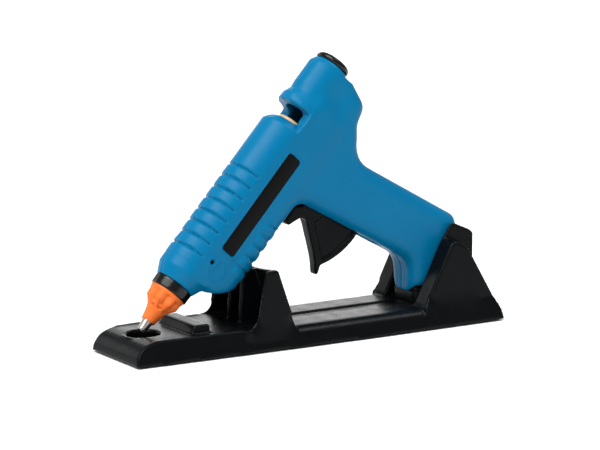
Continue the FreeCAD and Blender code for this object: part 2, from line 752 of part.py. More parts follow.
def side_details(sign):
    """Rod seat, bail hole, badge recess and grip grooves of one shell."""
    tag = "%d" % (sign > 0)
    seat = rod("rod_seat_" + tag, (99.9, D["rod_side"] * sign, -D["rod_depth"]),
               D["rod_radius"] + 0.02, 42.2, (1, 0, 0), GUN)
    bail = rod("bail_hole_" + tag, (55.2, 12.0 * sign, -3.4), 1.3, 6.0, (0, sign, 0), GUN)
    items = [seat, bail, badge_recess(sign)]
    for i in range(8):
        items.append(top_groove(54.0 + i * 8.0, "%s_%d" % (tag, i), sign))
    for i in range(5):
        items.append(keel_groove(64.0 + i * 7.6, "%s_%d" % (tag, i), sign))
    return items


def trigger_way():
    """Slot along the underside where the trigger leaves the housing and swings."""
    return slab_of("trigger_way", WORLD, [
        (-18.0, 60.0), (-13.6, 70.6), (-9.0, 84.0), (0.0, 97.0), (40.0, 76.0), (53.5, 74.0),
        (53.5, 44.0), (20.0, 44.0)], 4.6)


def top_groove(at, tag, sign):
    """Shallow groove round one side of the barrel's top."""
    ring = turned("top_ring_" + tag, [
        (at - 0.8, 14.55), (at - 0.8, 17.0), (at + 0.8, 17.0), (at + 0.8, 14.55)])
    room = box("top_room_" + tag, (at - 2, min(0.0, 20.0 * sign), 4.0), (4.0, 20.0, 20.0), GUN)
    return common("top_groove_" + tag, ring, room)


def keel_groove(at, tag, sign):
    """Shallow notch across one rounded lower corner of the barrel."""
    turn = Placement(Vector(at, 6.3 * sign, -20.2), Rotation(Vector(1, 0, 0), 135.0 * -sign))
    return box("keel_groove_" + tag, (-1.1, -7.0, 8.2), (2.2, 14.0, 4.0), GUN.multiply(turn))


def badge_blank(name, sign, inset, depth):
    """Long rounded plate on the barrel's flat side."""
    half = float(D["barrel_half"])
    length, height, radius = 69.0 - 2 * inset, 9.6 - 2 * inset, 1.8
    outer = half + 0.5 if depth > 1 else half + 0.1
    y0 = (outer - depth) if sign > 0 else -outer
    owner = box(name + "_bar", (64.8 + inset, y0, -12.3 + inset), (length, depth, height), GUN)
    item = DOC.addObject("Part::Fillet", name)
    item.Base = owner
    DOC.recompute()
    across = [i for i, e in enumerate(owner.Shape.Edges, start=1)
              if e.BoundBox.YLength > depth - 0.01 and e.Length < depth + 0.01]
    item.Edges = [(i, radius, radius) for i in across]
    DOC.recompute()
    return item


def badge_recess(sign):
    return badge_blank("badge_recess_%d" % (sign > 0), sign, 0.0, 1.4)


def make_trim():
    """Blank side badges, rear inlet cap, housing screws and the foot's contact cap."""
    badge_blank("badge_left", -1, 0.15, 0.8)
    badge_blank("badge_right", 1, 0.15, 0.8)
    cap = D["cap_radius"]
    end = D["cap_end"]
    turned("rear_cap", [
        (182.0, 6.1), (182.0, 7.3), (192.3, 7.3), (192.3, 10.2), (193.4, cap),
        (end - 1.4, cap - 0.3), (end - 0.4, cap - 1.2), (end, cap - 2.4), (end, 6.9),
        (end - 0.8, 6.1)])
    group("housing_screws", screw_tools("screw"))
    plug = box("plug_top", (73.8, -11.2, 19.4), (28.0, 22.4, 2.4))
    base = DOC.addObject("Part::Fillet", "plug_base")
    base.Base = box("plug_block", (72.6, -12.4, 12.6), (30.4, 24.8, 6.6))
    DOC.recompute()
    upright = [i for i, e in enumerate(base.Base.Shape.Edges, start=1)
               if e.BoundBox.ZLength > 5.0]
    base.Edges = [(i, 4.0, 4.0) for i in upright]
    neck = box("plug_neck", (75.0, -10.0, 18.0), (25.6, 20.0, 2.0))
    pockets = [box("contact_pocket_%d" % (s > 0), (80.0, 6.0 * s - 2.6, 12.0),
                   (16.0, 5.2, 2.2)) for s in (-1, 1)]
    cut("handle_base_cap", fuse("plug_solid", [plug, base, neck]),
        fuse("contact_pockets", pockets))
    group("gun_contacts", [box("gun_contact_%d" % (s > 0), (80.2, 6.0 * s - 2.4, 13.5),
                               (15.6, 4.8, 0.7)) for s in (-1, 1)])


def make_leads():
    """Two insulated leads from the foot to the heater, held between the shells."""
    radius, bend = 0.9, 6.0
    electrode = {-1: gun_to_world(79.5, -20.0), 1: gun_to_world(80.0, -12.0)}
    leads = []
    for sign in (-1, 1):
        y = 8.4 * sign
        end_x, end_z = electrode[sign]
        near_x, near_z = gun_to_world(96.0, -20.0)
        route = [
            (86.0, y, 22.2), (86.0, y, 44.0), (62.0, y, 58.0), (30.0, y, 78.0),
            (14.0, y, 100.0), (near_x + 14.0, y, near_z + 18.0), (near_x, y, near_z)]
        leads.append(feature("lead_%d" % (sign > 0), wire_lead(route, radius, bend)))
    group("heater_leads", leads)


# ---------------------------------------------------------------- dock

def plan_outline(sketch, level):
    """Dock plan: straight ends and gently bowed sides, drawn in by level."""
    half_x = float(HALF_LENGTH) - level
    front = float(D["dock_front_width"]) / 2 - level
    middle = float(D["dock_mid_width"]) / 2 - level
    rear = float(D["dock_rear_width"]) / 2 - level
    near = Part.Arc(Vector(-half_x, -front, 0), Vector(0, -middle, 0), Vector(half_x, -rear, 0))
    far = Part.Arc(Vector(half_x, rear, 0), Vector(0, middle, 0), Vector(-half_x, front, 0))
    sketch.addGeometry(near, False)
    sketch.addGeometry(Part.LineSegment(near.EndPoint, far.StartPoint), False)
    sketch.addGeometry(far, False)
    sketch.addGeometry(Part.LineSegment(far.EndPoint, near.StartPoint), False)
    for i in range(4):
        following = (i + 1) % 4
        sketch.addConstraint(Sketcher.Constraint("Coincident", i, 2, following, 1))


def skirt(name, inset, bottom, top):
    """Bowed plinth whose sides lean inwards."""
    owner = body(name, WORLD)
    low = sketch_on(owner, "XY_Plane", name + "_low")
    plan_outline(low, inset)
    low.AttachmentOffset = Placement(Vector(0, 0, float(as_size(bottom))), Rotation())
    high = sketch_on(owner, "XY_Plane", name + "_high")
    plan_outline(high, inset + float(D["dock_lean"]))
    high.AttachmentOffset = Placement(Vector(0, 0, float(as_size(top))), Rotation())
    DOC.recompute()
    loft = owner.newObject("PartDesign::AdditiveLoft", name + "_loft")
    loft.Profile = low
    loft.Sections = [high]
    loft.Ruled = True
    DOC.recompute()
    return owner


def make_dock():
    """Dock shell: plate with drip well, front cradle, valley and the slotted rear tower."""
    plate = D["plate_top"]
    valley = D["valley_top"]
    half = D["tower_half"]
    outer_skirt = skirt("skirt_outer", 0.0, D["dock_bottom"], plate)
    nose = slab_of("nose_cut", WORLD, [
        (-140.0, -5.0), (-125.6, -5.0), (-124.9, 2.0), (-123.9, 5.6), (-122.3, 8.4),
        (-120.0, 10.6), (-117.0, 12.2), (-113.4, 13.2), (-109.0, 13.7), (-109.0, 30.0),
        (-140.0, 30.0)], 60.0)
    tail = slab_of("tail_cut", WORLD, [
        (140.0, -5.0), (125.2, -5.0), (125.0, 2.0), (123.8, 6.6), (113.0, 25.0),
        (140.0, 30.0)], 60.0)
    step = box("valley_step", (D["front_tower_back"] - 1.0, -60.0, valley),
               (-D["front_tower_back"] + D["slab_front"] + 1.0, 120.0, 10.0))
    plinth = cut("plinth", outer_skirt, fuse("plinth_cuts", [nose, tail, step]))
    cradle = slab_of("cradle_block", WORLD, [
        (-54.0, 5.0), (-54.0, plate - 0.2), (-50.6, plate + 0.5), (-48.0, plate + 2.2),
        (D["front_tower_x"] + 0.6, plate + 5.6),
        (-40.5, D["tower_height"] - 0.8), (-39.6, D["tower_height"] - 0.1),
        (-33.4, D["tower_height"]), (-32.2, D["tower_height"] - 1.2),
        (D["front_tower_back"], valley - 0.2), (D["front_tower_back"], 5.0)], half)
    slabs = slab_of("slab_block", WORLD, [
        (D["slab_front"], 5.0), (D["slab_front"], valley - 0.2), (86.6, 47.4), (88.4, 50.0),
        (91.2, D["slab_height"]), (99.6, D["slab_height"] - 4.0), (123.8, 6.4),
        (123.8, 5.0)], half)
    hood = slab_of("hood_block", WORLD, [
        (80.0, 12.0), (86.6, 47.4), (94.2, 58.6), (96.8, D["hood_height"]),
        (108.6, D["hood_height"] - 5.2), (D["hood_back"], D["hood_height"] - 7.2),
        (D["hood_back"], 12.0)], D["slot_half"] + D["hood_wall"])
    bar = slab_of("rest_bar", WORLD, [
        (-85.2, 12.0), (-84.4, 15.6), (-82.8, 18.0), (-81.6, 18.5), (-73.8, 18.5),
        (-73.0, 17.8), (-73.0, 12.0)], 19.0)
    solid = fuse("dock_solid", [plinth, cradle, slabs, hood, bar])
    cut("dock_shell", fuse("dock_full", [cut("dock_open", solid, fuse(
        "dock_openings", dock_openings())), dock_inside()]),
        fuse("dock_holes", dock_holes()))


def dock_openings():
    """Cradle room, handle slot, channel and the hollow underneath."""
    plate = D["plate_top"]
    valley = D["valley_top"]
    half = D["tower_half"]
    inner = half - D["cheek_wall"]
    slot = D["slot_half"]
    cradle_room = slab_of("cradle_room", WORLD, [
        (-60.0, plate), (-60.0, 70.0), (-45.0, 70.0), (-36.6, D["tower_height"] + 1.0),
        (-24.2, plate)], inner)
    saddle = rod("saddle", (-60.0, 0, 181.7), 137.0, 40.0, (1, 0, 0))
    slot_room = slab_of("slot_room", WORLD, [
        (60.0, valley), (60.0, 80.0), (107.0, 80.0), (106.6, valley)], slot)
    channel = box("channel", (D["front_tower_back"] - 0.1, -5.3, valley - 1.2),
                  (92.0, 10.6, 3.0))
    hollow = skirt("skirt_hollow", float(D["dock_wall"]), -1.0, 10.6)
    hollow_cut = slab_of("hollow_ends", WORLD, [
        (-121.0, -2.0), (-117.5, 8.0), (-113.0, 10.2), (-20.0, 10.7), (-18.0, 8.6),
        (112.0, 8.6), (117.5, 6.0), (121.5, -2.0)], 60.0)
    shoulders = [valley_shoulder(sign) for sign in (-1, 1)]
    items = [cradle_room, saddle, slot_room, channel] + shoulders + [
             common("hollow_plinth", hollow, hollow_cut)]
    for sign in (-1, 1):
        width = half - slot - D["hood_wall"] - D["dock_wall"]
        owner = slab_of("slab_hollow_%d" % (sign > 0), WORLD, [
            (73.4, -2.0), (73.4, 11.0), (89.6, 46.0), (92.0, 47.8), (97.6, 45.0),
            (119.0, 9.0), (119.0, -2.0)], width / 2)
        middle = slot + D["hood_wall"] + width / 2
        owner.Placement = Placement(Vector(0, float(middle) * sign, 0), Rotation())
        items.append(owner)
    items.append(slab_of("back_hollow", WORLD, [
        (109.4, -2.0), (109.4, 26.0), (118.6, 9.6), (118.6, -2.0)], slot))
    return items


def valley_shoulder(sign):
    """Waste beside the large rounding along one long edge of the valley."""
    radius, axis_y, axis_z = 8.0, 22.2, 4.3
    start = D["front_tower_back"]
    length = D["slab_front"] - start
    tag = "%d" % (sign > 0)
    waste = box("shoulder_waste_" + tag, (start, min(axis_y * sign, 34.0 * sign), axis_z),
                (length, 34.0 - axis_y, 12.0))
    keep = rod("shoulder_keep_" + tag, (start - 1, axis_y * sign, axis_z), radius,
               length + 2, (1, 0, 0))
    return cut("shoulder_" + tag, waste, keep)


BOSS_PLACES = [(-90.0, -20.0), (-90.0, 20.0), (52.0, -22.0), (52.0, 22.0), (-8.0, 0.0)]
FOOT_PLACES = [(-104.0, -17.5), (-104.0, 17.5), (106.0, -21.0), (106.0, 21.0)]


def dock_inside():
    """Drip well, screw posts and the two ribs that carry the barrel."""
    valley = D["valley_top"]
    items = [rod("well_wall", (D["well_x"], 0, 4.2), D["well_radius"] + 1.8, 8.6, (0, 0, 1))]
    for i, (x, y) in enumerate(BOSS_PLACES):
        items.append(rod("post_%d" % i, (x, y, 3.4), 3.4, valley - 5.0, (0, 0, 1)))
    low = gun_to_world(61.0, -D["keel_depth"] - 0.5)
    high = gun_to_world(69.0, -D["keel_depth"] - 0.5)
    for sign in (-1, 1):
        rib = slab_of("cradle_rib_%d" % (sign > 0), WORLD, [
            (-46.6, 12.5), low, high, (-36.0, 44.6), (-23.0, 12.5)], 1.2)
        rib.Placement = Placement(Vector(0, 6.4 * sign, 0), Rotation())
        items.append(rib)
    return fuse("dock_fittings", items)


def dock_holes():
    """Drip well mouth, screw pilots, contact window and the power inlet's seat."""
    items = [rod("well_mouth", (D["well_x"], 0, 6.0), D["well_radius"], 20.0, (0, 0, 1)),
             box("contact_window", (78.5, -10.0, 6.0), (19.0, 20.0, 10.0)),
             box("inlet_seat", (112.0, -9.2, 3.6), (20.0, 18.4, 8.8))]
    for i, (x, y) in enumerate(BOSS_PLACES):
        items.append(rod("pilot_hole_%d" % i, (x, y, 0.0), 1.2, 8.4, (0, 0, 1)))
    return items


def make_dock_inside():
    """Base plate, feet, screws, contact carrier, contacts, inlet and leads."""
    base_blank = skirt("base_blank", float(D["dock_wall"]) + 1.4, D["dock_bottom"] + 0.4, 3.0)
    base_ends = slab_of("base_ends", WORLD, [
        (-118.8, 0.0), (-118.8, 5.0), (118.4, 5.0), (118.4, 0.0)], 60.0)
    seats = [rod("base_seat_%d" % i, (x, y, 0.0), 2.9, 1.9, (0, 0, 1))
             for i, (x, y) in enumerate(BOSS_PLACES)]
    seats += [rod("base_way_%d" % i, (x, y, 0.0), 1.6, 5.0, (0, 0, 1))
              for i, (x, y) in enumerate(BOSS_PLACES)]
    seats += [rod("pad_seat_%d" % i, (x, y, 0.0), D["foot_pad_radius"] + 0.1, 1.8, (0, 0, 1))
              for i, (x, y) in enumerate(FOOT_PLACES)]
    cut("dock_base", common("base_plate", base_blank, base_ends), fuse("base_seats", seats))
    pads = [rod("pad_%d" % i, (x, y, 0.0), D["foot_pad_radius"], 1.8, (0, 0, 1))
            for i, (x, y) in enumerate(FOOT_PLACES)]
    group("dock_feet", pads)
    screws = []
    for i, (x, y) in enumerate(BOSS_PLACES):
        head = rod("base_head_%d" % i, (x, y, 1.1), 2.6, 0.8, (0, 0, 1))
        shank = rod("base_shank_%d" % i, (x, y, 1.2), 1.15, 7.0, (0, 0, 1))
        screws.append(fuse("base_screw_%d" % i, [head, shank]))
    group("dock_screws", screws)
    carrier = box("carrier_block", (79.0, -9.6, 4.6), (18.0, 19.2, 7.2))
    rooms = [box("carrier_room_%d" % (s > 0), (81.0, 6.0 * s - 1.6, 6.4), (14.0, 3.2, 6.0))
             for s in (-1, 1)]
    cut("contact_carrier", carrier, fuse("carrier_rooms", rooms))
    group("dock_contacts", [spring_contact(s) for s in (-1, 1)])
    inlet = box("inlet_block", (109.6, -9.0, 3.8), (13.0, 18.0, 8.4))
    mouth = [rod("inlet_mouth_%d" % (s > 0), (115.0, 2.6 * s, 8.0), 2.9, 12.0, (1, 0, 0))
             for s in (-1, 1)]
    cut("inlet_body", inlet, fuse("inlet_mouth", mouth))
    pins = [rod("inlet_pin_%d" % (s > 0), (112.0, 2.6 * s, 8.0), 1.0, 9.0, (1, 0, 0))
            for s in (-1, 1)]
    fuse("power_inlet", [DOC.getObject("inlet_body")] + pins)
    leads = []
    for s in (-1, 1):
        route = [(109.6, 3.0 * s, 5.6), (104.0, 3.0 * s, 5.6), (100.0, 6.0 * s, 5.6),
                 (97.2, 6.0 * s, 5.6)]
        leads.append(feature("dock_lead_%d" % (s > 0), wire_lead(route, 0.8, 2.0)))
    group("dock_leads", leads)


def spring_contact(sign):
    """Bent blade that presses up against the gun's contact plate."""
    owner = slab_of("dock_contact_%d" % (sign > 0), WORLD, [
        (82.0, 6.6), (83.0, 6.6), (87.6, 12.6), (90.4, 12.6), (94.0, 7.2), (94.6, 7.6),
        (90.8, 13.1), (87.2, 13.1), (82.4, 7.2), (82.0, 7.2)], 1.2)
    owner.Placement = Placement(Vector(0, 6.0 * sign, 0), Rotation())
    return owner


# ---------------------------------------------------------------- build, check and write

NODES = [
    "housing_left", "housing_right", "housing_screws", "nose_collar", "nozzle_sleeve",
    "nozzle_tip", "valve_ball", "valve_spring", "melt_chamber", "ptc_heater",
    "electrode_plates", "heater_clip", "chamber_support", "inlet_sleeve", "sleeve_clamp",
    "thermal_fuse", "stick_guide", "rear_cap", "guide_rods", "return_springs",
    "feed_carriage", "feed_pin", "gripper_jaw", "jaw_pin", "trigger", "trigger_pin",
    "badge_left", "badge_right", "handle_base_cap", "gun_contacts", "heater_leads",
    "dock_shell", "dock_base", "dock_feet", "dock_screws", "contact_carrier",
    "dock_contacts", "power_inlet", "dock_leads"]


def build():
    make_nozzle()
    make_chamber()
    make_feed()
    make_trigger()
    make_housing()
    make_trim()
    make_leads()
    make_dock()
    make_dock_inside()
    DOC.recompute()


def check_and_write():
    failed = [o.Name for o in DOC.Objects if "Invalid" in o.State or "Error" in o.State]
    if failed:
        raise RuntimeError("failed objects: " + ", ".join(failed))
    os.makedirs("parts", exist_ok=True)
    for name in NODES:
        item = DOC.getObject(name)
        item.Label = name
        shape = item.Shape
        if shape.isNull() or not shape.isValid() or not shape.Solids:
            raise RuntimeError("bad shape: " + name)
        shape.exportStep("parts/%s.step" % name)
        print("%-18s solids %2d volume %10.1f" % (name, len(shape.Solids), shape.Volume))


build()
check_and_write()
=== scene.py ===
"""Looks of the docked glue gun: materials, finer surfaces, light and camera."""
import json
import math

import bmesh
import bpy
import numpy as np
from mathutils import Matrix, Vector, kdtree


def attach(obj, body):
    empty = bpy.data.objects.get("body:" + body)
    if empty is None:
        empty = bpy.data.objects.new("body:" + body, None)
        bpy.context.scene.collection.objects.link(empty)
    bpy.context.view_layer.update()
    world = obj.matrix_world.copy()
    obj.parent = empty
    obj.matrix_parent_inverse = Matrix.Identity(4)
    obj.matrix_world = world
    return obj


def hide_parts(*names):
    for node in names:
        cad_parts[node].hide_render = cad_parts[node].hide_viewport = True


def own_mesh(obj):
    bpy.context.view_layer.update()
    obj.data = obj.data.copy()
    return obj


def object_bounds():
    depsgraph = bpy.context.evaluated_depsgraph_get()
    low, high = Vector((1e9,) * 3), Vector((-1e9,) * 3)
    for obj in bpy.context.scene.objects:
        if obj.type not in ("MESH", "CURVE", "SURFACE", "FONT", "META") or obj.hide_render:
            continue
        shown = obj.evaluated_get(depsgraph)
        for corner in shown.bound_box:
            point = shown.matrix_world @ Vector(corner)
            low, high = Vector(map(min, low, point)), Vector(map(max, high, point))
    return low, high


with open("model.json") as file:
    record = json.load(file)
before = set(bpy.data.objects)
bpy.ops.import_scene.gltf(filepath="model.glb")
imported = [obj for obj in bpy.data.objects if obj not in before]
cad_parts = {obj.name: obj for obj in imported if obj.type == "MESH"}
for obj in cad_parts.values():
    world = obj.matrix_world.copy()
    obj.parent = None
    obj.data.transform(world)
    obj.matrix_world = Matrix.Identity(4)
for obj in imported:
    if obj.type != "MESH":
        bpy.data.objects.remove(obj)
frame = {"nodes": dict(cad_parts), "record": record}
cad_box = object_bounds()
NODES = frame["nodes"]
RECORD = frame["record"]
JOINTS = {j["name"]: j for j in RECORD["behaviour"]["joints"]}
MM = 0.001
BODY_OF = {node: body for body, nodes in RECORD["behaviour"]["bodies"].items() for node in nodes}
SLOT_OF = {s["node"]: s["material_slot"] for s in RECORD["subparts"]}


# ---------------------------------------------------------------- places read from the frame

MOUNTS = {m["name"]: m for m in RECORD["mounts"]}
BARREL_DIR = Vector(MOUNTS["stick_inlet"]["axis"]).normalized()
UP_DIR = Vector((-BARREL_DIR.z, 0.0, BARREL_DIR.x))
SIDE_DIR = Vector((0.0, 1.0, 0.0))
INLET_FROM_TIP = 189 * MM
TIP = Vector(MOUNTS["stick_inlet"]["pos_m"]) - BARREL_DIR * INLET_FROM_TIP
TIP_MM = np.array(TIP) * 1000.0
GUN_AXES = np.array([BARREL_DIR, SIDE_DIR, UP_DIR])


def gun_matrix():
    """Gun frame at the tip, in metres: x back along the barrel, y across it, z up from it."""
    turn = Matrix((BARREL_DIR, SIDE_DIR, UP_DIR)).transposed().to_4x4()
    return Matrix.Translation(TIP) @ turn


# ---------------------------------------------------------------- material nodes

class Finish:
    """A Principled material with small procedural layers added one by one."""

    def __init__(self, name, color, rough, metal=0.0, specular=0.5):
        self.material = bpy.data.materials.new(name)
        self.material.use_nodes = True
        self.tree = self.material.node_tree
        self.shader = self.tree.nodes["Principled BSDF"]
        self.set("Base Color", (*color, 1.0))
        self.set("Roughness", rough)
        self.set("Metallic", metal)
        self.set("Specular IOR Level", specular)
        self.normal = None

    def set(self, socket, value):
        self.shader.inputs[socket].default_value = value

    def add(self, kind):
        return self.tree.nodes.new(kind)

    def feed(self, socket, value):
        """Link another node's output to the socket, or set it to a plain value."""
        if hasattr(value, "is_output"):
            self.tree.links.new(value, socket)
        else:
            socket.default_value = value

    def noise(self, size_mm, detail=3.0, distort=0.0, stretch=None):
        """Noise whose features are about size_mm across."""
        where = self.add("ShaderNodeTexCoord").outputs["Object"]
        if stretch:
            mapping = self.add("ShaderNodeMapping")
            self.feed(mapping.inputs["Vector"], where)
            mapping.inputs["Scale"].default_value = stretch
            where = mapping.outputs["Vector"]
        node = self.add("ShaderNodeTexNoise")
        node.inputs["Detail"].default_value = detail
        node.inputs["Distortion"].default_value = distort
        node.inputs["Scale"].default_value = 1000.0 / size_mm
        self.feed(node.inputs["Vector"], where)
        return node.outputs["Fac"]

    def ramp(self, value, low, high, start, end):
        """Value from start to end becomes low to high, and stays there outside."""
        node = self.add("ShaderNodeMapRange")
        self.feed(node.inputs["Value"], value)
        for socket, number in (("From Min", start), ("From Max", end),
                               ("To Min", low), ("To Max", high)):
            node.inputs[socket].default_value = number
        return node.outputs["Result"]

    def times(self, a, b):
        node = self.add("ShaderNodeMath")
        node.operation = "MULTIPLY"
        self.feed(node.inputs[0], a)
        self.feed(node.inputs[1], b)
        return node.outputs[0]

    def tint(self, factor, shade):
        """Mix the base colour towards shade by factor."""
        mix = self.add("ShaderNodeMix")
        mix.data_type = "RGBA"
        base = self.shader.inputs["Base Color"]
        before = base.links[0].from_socket if base.is_linked else base.default_value
        self.feed(mix.inputs[0], factor)
        self.feed(mix.inputs[6], before)
        mix.inputs[7].default_value = (*shade, 1.0)
        self.tree.links.new(mix.outputs[2], base)
        return self

    def roughen(self, value, low, high):
        self.feed(self.shader.inputs["Roughness"], self.ramp(value, low, high, 0.3, 0.7))
        return self

    def bump(self, height, depth_mm, strength=1.0):
        """Add a bump layer of that height in millimetres."""
        node = self.add("ShaderNodeBump")
        node.inputs["Strength"].default_value = strength
        node.inputs["Distance"].default_value = depth_mm * MM
        self.feed(node.inputs["Height"], height)
        if self.normal is not None:
            self.feed(node.inputs["Normal"], self.normal)
        self.normal = node.outputs["Normal"]
        self.feed(self.shader.inputs["Normal"], self.normal)
        return self

    def painted_edge_highlight(self, shade, amount):
        """Painted highlight: convex edges made lighter, broken up by fine noise."""
        point = self.add("ShaderNodeNewGeometry").outputs["Pointiness"]
        edge = self.ramp(point, 0.0, amount, 0.515, 0.60)
        return self.tint(self.times(edge, self.noise(1.4)), shade)

    def dusty(self, shade, amount):
        """Faint uneven cast over the whole surface."""
        return self.tint(self.ramp(self.noise(22.0, 4.0), 0.0, amount, 0.45, 0.75), shade)


def moulded(name, color, rough, specular, light, shade):
    """Injection-moulded plastic with a fine spark-eroded grain."""
    finish = Finish(name, color, rough, specular=specular)
    finish.tint(finish.ramp(finish.noise(34.0, 2.0), 0.0, 0.35, 0.35, 0.7), shade)
    # painted highlight on convex edges, in the light colour
    finish.painted_edge_highlight(light, 0.5)
    finish.roughen(finish.noise(9.0, 4.0), rough - 0.05, rough + 0.07)
    finish.bump(finish.noise(0.45, 2.0), 0.03, 0.5)
    finish.bump(finish.noise(26.0, 1.0), 0.05, 0.2)
    return finish.material


def brushed(name, color, rough, stretch, shade=None):
    """Metal with drawn or turned lines along one direction."""
    finish = Finish(name, color, rough, metal=1.0)
    lines = finish.noise(1.2, 4.0, 0.2, stretch)
    finish.roughen(lines, rough - 0.08, rough + 0.1)
    finish.bump(lines, 0.02, 0.5)
    if shade:
        finish.tint(finish.ramp(finish.noise(6.0), 0.0, 0.6, 0.4, 0.8), shade)
    return finish.material


def soft_silicone(name, color, shade):
    """Matt silicone rubber that lets a little light in."""
    finish = Finish(name, color, 0.48, specular=0.3)
    finish.set("Subsurface Weight", 0.12)
    finish.set("Subsurface Scale", 0.004)
    finish.set("Subsurface Radius", (1.0, 0.35, 0.1))
    finish.tint(finish.ramp(finish.noise(8.0), 0.0, 0.4, 0.4, 0.8), shade)
    finish.bump(finish.noise(0.35), 0.03, 0.5).bump(finish.noise(5.0), 0.12, 0.3)
    return finish.material


def simple(name, color, rough, grain_mm, shade, amount=0.4, specular=0.3):
    """Plain material with a grain and an uneven cast."""
    finish = Finish(name, color, rough, specular=specular)
    finish.bump(finish.noise(grain_mm), 0.04, 0.5).dusty(shade, amount)
    finish.roughen(finish.noise(grain_mm * 4.0), rough - 0.06, rough + 0.06)
    return finish.material


def make_materials():
    """One material for each of the record's slots."""
    # the next colour is the painted highlight on the black plastics' convex edges
    black_edge_highlight = (0.030, 0.032, 0.034)
    black_shade = (0.0030, 0.0036, 0.0042)
    return {
        # each moulded finish's fourth colour is its painted highlight on convex edges
        "shell": moulded("blue_shell", (0.0, 0.148, 0.308), 0.32, 0.10, (0.01, 0.22, 0.40),
                         (0.0, 0.126, 0.278)),
        "shell_dark": moulded("black_shell", (0.0020, 0.0027, 0.0031), 0.28, 0.08, black_edge_highlight,
                              black_shade),
        "collar": moulded("black_collar", (0.0030, 0.0030, 0.0034), 0.18, 0.32, black_edge_highlight,
                          black_shade),
        "sleeve": soft_silicone("orange_silicone", (0.80, 0.155, 0.020), (0.72, 0.115, 0.012)),
        "tip": brushed("nozzle_metal", (0.56, 0.545, 0.52), 0.30, (3.0, 0.4, 3.0),
                       (0.36, 0.31, 0.25)),
        "steel": brushed("plated_steel", (0.56, 0.56, 0.57), 0.28, (1.0, 0.2, 1.0)),
        "chamber": brushed("cast_aluminium", (0.66, 0.66, 0.67), 0.42, (1.0, 1.0, 1.0)),
        "ceramic": simple("ceramic", (0.72, 0.69, 0.62), 0.7, 0.6, (0.6, 0.55, 0.45)),
        "cream": simple("cream_ring", (0.66, 0.42, 0.22), 0.45, 0.4, (0.5, 0.3, 0.14)),
        "silicone": soft_silicone("red_silicone", (0.45, 0.05, 0.03), (0.35, 0.03, 0.02)),
        "nylon": moulded("nylon", (0.58, 0.56, 0.50), 0.5, 0.3, (0.7, 0.7, 0.65),
                         (0.5, 0.48, 0.42)),
        "badge": simple("badge_plate", (0.0030, 0.0032, 0.0035), 0.32, 0.8,
                        (0.0045, 0.0045, 0.0048), 0.3, 0.07),
        "brass": brushed("contact_brass", (0.82, 0.60, 0.26), 0.26, (0.3, 1.0, 1.0)),
        "lead": simple("lead_insulation", (0.5, 0.04, 0.03), 0.4, 0.8, (0.3, 0.03, 0.02)),
        "foot": simple("foot_rubber", (0.015, 0.015, 0.015), 0.75, 0.5, (0.06, 0.055, 0.05)),
    }


MATERIALS = make_materials()


# ---------------------------------------------------------------- meshes

def dress(obj, material):
    """The object wears that material only."""
    obj.data.materials.clear()
    obj.data.materials.append(material)


def smooth_by_angle(obj, degrees=32.0):
    """Smooth shading that keeps edges sharper than the given angle."""
    for face in obj.data.polygons:
        face.use_smooth = True
    obj.data.set_sharp_from_angle(angle=math.radians(degrees))


def add_object(name, mesh):
    obj = bpy.data.objects.new(name, mesh)
    bpy.context.scene.collection.objects.link(obj)
    return obj


def settle(obj):
    """Apply the object's modifiers to its mesh."""
    graph = bpy.context.evaluated_depsgraph_get()
    mesh = bpy.data.meshes.new_from_object(obj.evaluated_get(graph))
    obj.modifiers.clear()
    obj.data = mesh


def take_over(obj, node):
    """The piece stands for that CAD node and wears its slot's material."""
    dress(obj, MATERIALS[SLOT_OF[node]])
    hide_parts(node)
    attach(obj, BODY_OF[node])


def welded(node, name, scale=1.0):
    """Copy of a CAD node with its split edges joined again."""
    mesh = NODES[node].data.copy()
    mesh.transform(Matrix.Scale(scale, 4))
    work = bmesh.new()
    work.from_mesh(mesh)
    bmesh.ops.remove_doubles(work, verts=work.verts, dist=0.002 * MM * scale)
    work.to_mesh(mesh)
    work.free()
    return add_object(name, mesh)


def bevelled(node, width_mm):
    """Finer copy of a node whose edges are rounded as a mould leaves them."""
    obj = welded(node, "fine_" + node)
    bevel = obj.modifiers.new("soft_edges", "BEVEL")
    bevel.width = width_mm * MM
    bevel.segments = 3
    bevel.limit_method = "ANGLE"
    bevel.angle_limit = math.radians(28.0)
    bevel.use_clamp_overlap = True
    settle(obj)
    smooth_by_angle(obj, 40.0)
    take_over(obj, node)


class Clay:
    """A piece's points in gun coordinates, in millimetres, shaped in place."""

    def __init__(self, obj):
        self.obj = obj
        mesh = obj.data
        flat = np.empty(len(mesh.vertices) * 3)
        mesh.vertices.foreach_get("co", flat)
        world = flat.reshape(-1, 3)
        self.points = (world - TIP_MM) @ GUN_AXES.T
        ends = np.empty(len(mesh.edges) * 2, dtype=np.int64)
        mesh.edges.foreach_get("vertices", ends)
        self.ends = ends.reshape(-1, 2)
        self.degree = np.bincount(self.ends.ravel(), minlength=len(self.points))

    def normals(self):
        self.store()
        flat = np.empty(len(self.points) * 3)
        self.obj.data.vertex_normals.foreach_get("vector", flat)
        return flat.reshape(-1, 3) @ GUN_AXES.T

    def smooth(self, weight, rounds):
        """Move each point towards its neighbours' middle, by its weight."""
        count = len(self.points)
        first, second = self.ends.T
        share = np.clip(weight, 0.0, 1.0)[:, None] * 0.6
        for _ in range(rounds):
            middle = np.empty_like(self.points)
            for axis in range(3):
                values = self.points[:, axis]
                total = np.bincount(first, values[second], count)
                total += np.bincount(second, values[first], count)
                middle[:, axis] = total / np.maximum(self.degree, 1)
            self.points += (middle - self.points) * share

    def push(self, amount):
        """Move each point along its normal by that many millimetres."""
        self.points += self.normals() * amount[:, None]

    def world(self):
        """The points in the shared frame, in millimetres."""
        return self.points @ GUN_AXES + TIP_MM

    def store(self):
        self.obj.data.vertices.foreach_set("co", self.world().ravel())
        self.obj.data.update()


def step_up(values, low, high):
    """0 below low, 1 above high, and a smooth rise between."""
    share = np.clip((values - low) / (high - low), 0.0, 1.0)
    return share * share * (3.0 - 2.0 * share)


